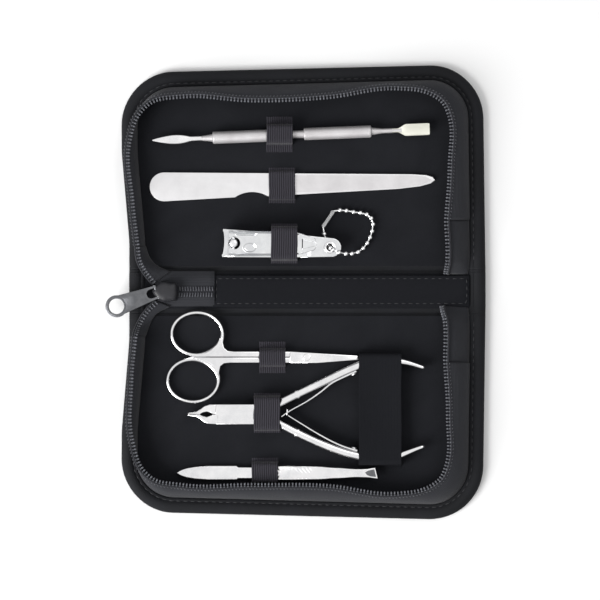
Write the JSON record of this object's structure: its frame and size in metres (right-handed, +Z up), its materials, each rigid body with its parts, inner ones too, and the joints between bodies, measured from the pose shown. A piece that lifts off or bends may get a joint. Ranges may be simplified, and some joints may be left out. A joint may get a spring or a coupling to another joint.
{
  "type": "manicure set case",
  "caption": "Zip-round folding case lying open, with a pusher, nail file, clipper, scissors, nipper and tweezers held in elastic loops.",
  "frame": {"origin": "centre of the spine's outer face, on the surface the open case lies on", "axes": "+X along the spine away from the zip pull, +Y across the open case towards the half with the pusher, +Z up out of the open case"},
  "size_m": [0.1709, 0.2016, 0.0171],
  "materials": {
    "cover_leather": "black grained imitation leather",
    "stiffener_board": "grey board, hidden",
    "flocked_lining": "black flocked cloth",
    "zip_tape": "black woven zip tape",
    "zip_teeth": "grey zip teeth on a cord",
    "elastic": "ribbed black elastic",
    "slider_metal": "dark grey enamel",
    "pull_metal": "gunmetal",
    "polished_steel": "polished steel",
    "file_steel": "steel with cross-cut faces",
    "chain_steel": "plated steel beads"
  },
  "bodies": {
    "lower_half": {"lower_cover": "cover_leather", "lower_board": "stiffener_board", "lower_lining": "flocked_lining", "lower_zip_tape": "zip_tape", "lower_zip_chain": "zip_teeth", "lower_fold_cloth": "cover_leather", "lower_zip_turn": "zip_teeth", "lower_zip_end": "zip_teeth", "scissors_loop": "elastic", "nipper_loop": "elastic", "tweezers_loop": "elastic", "handle_strap": "elastic"},
    "spine": {"spine_cover": "cover_leather", "spine_board": "stiffener_board", "spine_lining": "flocked_lining", "spine_strip": "cover_leather", "zip_tail_tape": "zip_tape", "zip_tail_chain": "zip_teeth"},
    "upper_half": {"upper_cover": "cover_leather", "upper_board": "stiffener_board", "upper_lining": "flocked_lining", "upper_zip_tape": "zip_tape", "upper_zip_chain": "zip_teeth", "upper_fold_cloth": "cover_leather", "upper_zip_turn": "zip_teeth", "upper_zip_end": "zip_teeth", "pusher_loop": "elastic", "file_loop": "elastic", "clipper_loop": "elastic"},
    "slider": {"slider_body": "slider_metal", "slider_bridge": "slider_metal"},
    "pull": {"zip_pull": "pull_metal"},
    "pusher": {"pusher_handle": "polished_steel", "pusher_spear": "polished_steel", "pusher_spade": "polished_steel"},
    "file": {"nail_file": "file_steel"},
    "clipper": {"clipper_lower_arm": "polished_steel", "clipper_eyelet": "polished_steel"},
    "clipper_jaw": {"clipper_upper_arm": "polished_steel"},
    "post": {"clipper_post": "polished_steel"},
    "lever": {"clipper_lever": "polished_steel"},
    "chain": {"ball_chain": "chain_steel", "chain_connector": "chain_steel"},
    "scissors": {"scissors_lower_blade": "polished_steel", "scissors_screw": "polished_steel"},
    "scissors_top": {"scissors_upper_blade": "polished_steel"},
    "nipper": {"nipper_top_half": "polished_steel", "nipper_pivot": "polished_steel", "nipper_upper_spring": "polished_steel", "nipper_upper_spring_screw": "polished_steel"},
    "nipper_lower": {"nipper_bottom_half": "polished_steel", "nipper_lower_spring": "polished_steel", "nipper_lower_spring_screw": "polished_steel"},
    "tweezers": {"tweezers_bottom_arm": "polished_steel"},
    "tweezers_top": {"tweezers_top_arm": "polished_steel"}
  },
  "joints": [
    {"name": "fold", "type": "hinge", "parent": "lower_half", "child": "spine", "pos_m": [0, -0.0096, 0.004], "axis": [-1, 0, 0], "range_deg": [-90, 0], "deforming": ["lower_fold_cloth", "lower_zip_turn", "lower_zip_end"]},
    {"name": "upper_fold", "type": "hinge", "parent": "spine", "child": "upper_half", "pos_m": [0, 0.0096, 0.004], "axis": [-1, 0, 0], "range_deg": [-90, 0], "deforming": ["upper_fold_cloth", "upper_zip_turn", "upper_zip_end"]},
    {"name": "slider_travel", "type": "slide", "parent": "spine", "child": "slider", "axis": [1, 0, 0], "range_m": [0, 0.014]},
    {"name": "pull_flip", "type": "hinge", "parent": "slider", "child": "pull", "pos_m": [-0.0664, -0.00045, 0.0092], "axis": [-0.3354, 0.9421, 0], "range_deg": [0, 140]},
    {"name": "pusher_pull", "type": "slide", "parent": "upper_half", "child": "pusher", "axis": [0.5, 0, 0.866], "range_m": [0, 0.07], "deforming": ["pusher_loop"]},
    {"name": "file_pull", "type": "slide", "parent": "upper_half", "child": "file", "axis": [0.5, 0, 0.866], "range_m": [0, 0.07], "deforming": ["file_loop"]},
    {"name": "clipper_pull", "type": "slide", "parent": "upper_half", "child": "clipper", "axis": [0.5, 0, 0.866], "range_m": [0, 0.05], "deforming": ["clipper_loop"]},
    {"name": "jaw_press", "type": "hinge", "parent": "clipper", "child": "clipper_jaw", "pos_m": [0.00497, 0.01986, 0.00743], "axis": [-0.0419, -0.9991, 0], "range_deg": [0, 1.5], "stiffness_Nm_per_rad": 2},
    {"name": "lever_swivel", "type": "hinge", "parent": "clipper", "child": "post", "pos_m": [-0.0318, 0.0214, 0.009], "axis": [0, 0, 1], "range_deg": [0, 180]},
    {"name": "lever_flip", "type": "hinge", "parent": "post", "child": "lever", "pos_m": [-0.0318, 0.0214, 0.0134], "axis": [-0.0105, -0.9999, 0], "range_deg": [0, 160]},
    {"name": "chain_swing", "type": "hinge", "parent": "clipper", "child": "chain", "pos_m": [0.01146, 0.01959, 0.009], "axis": [0, 0, 1], "range_deg": [-15, 10]},
    {"name": "scissors_pull", "type": "slide", "parent": "lower_half", "child": "scissors", "axis": [-0.5, 0, 0.866], "range_m": [0, 0.075], "deforming": ["scissors_loop"]},
    {"name": "scissors_open", "type": "hinge", "parent": "scissors", "child": "scissors_top", "pos_m": [0.0011, -0.0298, 0.0049], "axis": [0, 0, 1], "range_deg": [0, 35]},
    {"name": "nipper_pull", "type": "slide", "parent": "lower_half", "child": "nipper", "axis": [0.5, 0, 0.866], "range_m": [0, 0.05], "deforming": ["nipper_loop", "handle_strap"]},
    {"name": "nipper_open", "type": "hinge", "parent": "nipper", "child": "nipper_lower", "pos_m": [-0.0187, -0.0554, 0.0066], "axis": [0, 0, -1], "range_deg": [0, 10]},
    {"name": "tweezers_pull", "type": "slide", "parent": "lower_half", "child": "tweezers", "axis": [0.5, 0, 0.866], "range_m": [0, 0.075], "deforming": ["tweezers_loop"]},
    {"name": "tweezers_squeeze", "type": "hinge", "parent": "tweezers", "child": "tweezers_top", "pos_m": [-0.0253, -0.08218, 0.00443], "axis": [0.0087, 1, 0], "range_deg": [0, 1.8], "stiffness_Nm_per_rad": 3}
  ],
  "couplings": [
    {"joint": "upper_fold", "follows": "fold", "ratio": 1},
    {"joint": "scissors_open", "follows": "scissors_pull", "rad_per_m": 8.1216},
    {"joint": "nipper_open", "follows": "nipper_pull", "rad_per_m": 3.4732}
  ]
}
